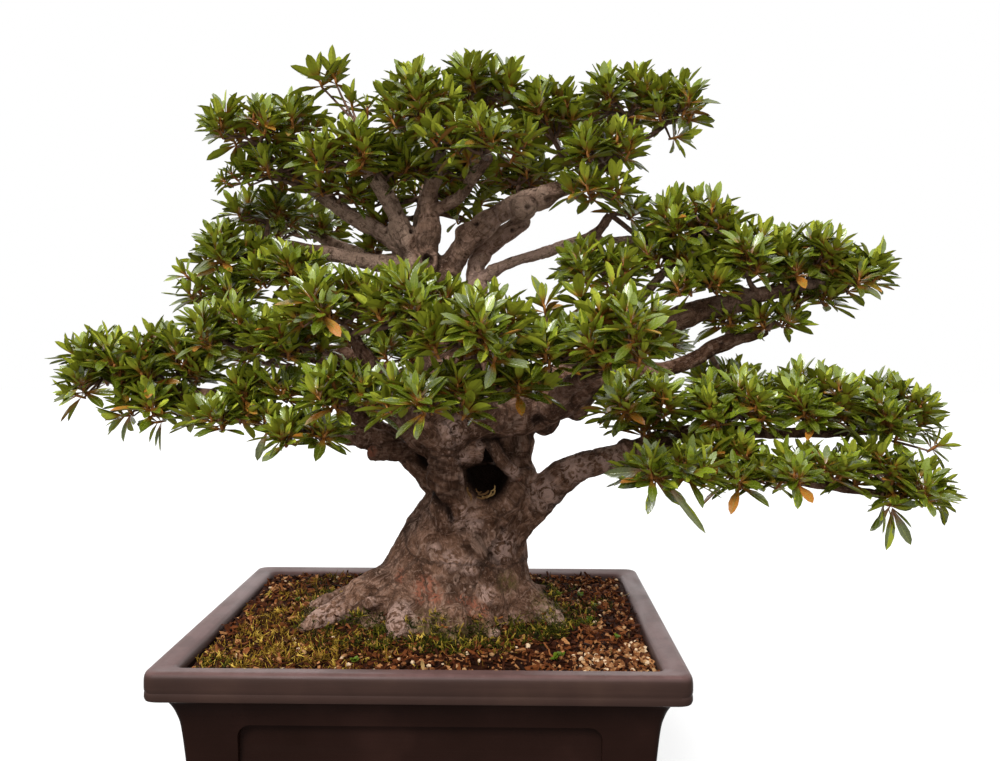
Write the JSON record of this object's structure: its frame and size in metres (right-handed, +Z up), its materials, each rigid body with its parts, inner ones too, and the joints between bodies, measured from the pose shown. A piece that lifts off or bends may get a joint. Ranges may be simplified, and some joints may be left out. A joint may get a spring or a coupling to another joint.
{
  "type": "chinzan satsuki azalea bonsai",
  "caption": "Old azalea bonsai with a thick flaring trunk and leafy pads on spreading limbs, growing in a rectangular unglazed clay pot.",
  "frame": {"origin": "on the ground, under the middle of the whole plant's box", "axes": "+Z up, +X to the right along the longest extent as seen from the front, and the front faces -Y"},
  "size_m": [0.894, 0.5222, 0.7114],
  "materials": {
    "stoneware": "unglazed, dark purple-brown, satin",
    "bark": "grey-brown bark, smooth in places and rough in others",
    "leaf": "satin green leaf with a leathery face",
    "soil": "rough brown granules with moss and gravel",
    "net": "matte"
  },
  "bodies": {
    "root": {"drain_net_left": "net", "drain_net_right": "net", "leafy_branch_back_centre": "leaf", "leafy_branch_back_crown": "leaf", "leafy_branch_back_crown_right": "leaf", "leafy_branch_back_left": "leaf", "leafy_branch_back_left_low": "leaf", "leafy_branch_back_right": "leaf", "leafy_branch_back_right_low": "leaf", "leafy_branch_crown_centre_left": "leaf", "leafy_branch_crown_centre_right": "leaf", "leafy_branch_crown_front": "leaf", "leafy_branch_crown_left": "leaf", "leafy_branch_crown_left_tip": "leaf", "leafy_branch_crown_right": "leaf", "leafy_branch_crown_right_inner": "leaf", "leafy_branch_crown_right_tip": "leaf", "leafy_branch_crown_sprig": "leaf", "leafy_branch_crown_top": "leaf", "leafy_branch_front_centre": "leaf", "leafy_branch_front_centre_left": "leaf", "leafy_branch_front_centre_right": "leaf", "leafy_branch_front_left": "leaf", "leafy_branch_front_low": "leaf", "leafy_branch_front_low_left": "leaf", "leafy_branch_front_low_right": "leaf", "leafy_branch_front_right": "leaf", "leafy_branch_left_low_hang": "leaf", "leafy_branch_left_low_inner": "leaf", "leafy_branch_left_low_mid": "leaf", "leafy_branch_left_low_outer": "leaf", "leafy_branch_left_low_tip": "leaf", "leafy_branch_left_low_under": "leaf", "leafy_branch_left_mid": "leaf", "leafy_branch_left_mid_inner": "leaf", "leafy_branch_left_mid_upper": "leaf", "leafy_branch_right_back_top": "leaf", "leafy_branch_right_low_far": "leaf", "leafy_branch_right_low_hang": "leaf", "leafy_branch_right_low_inner": "leaf", "leafy_branch_right_low_mid": "leaf", "leafy_branch_right_low_outer": "leaf", "leafy_branch_right_low_tip": "leaf", "leafy_branch_right_low_under": "leaf", "leafy_branch_right_mid": "leaf", "leafy_branch_right_mid_inner": "leaf", "leafy_branch_right_mid_low": "leaf", "leafy_branch_right_mid_outer": "leaf", "leafy_branch_right_mid_tip": "leaf", "leafy_branch_right_mid_top": "leaf", "leafy_branch_right_mid_under": "leaf", "pot": "stoneware", "soil": "soil", "trunk_roots_and_limbs": "bark"}
  },
  "joints": []
}
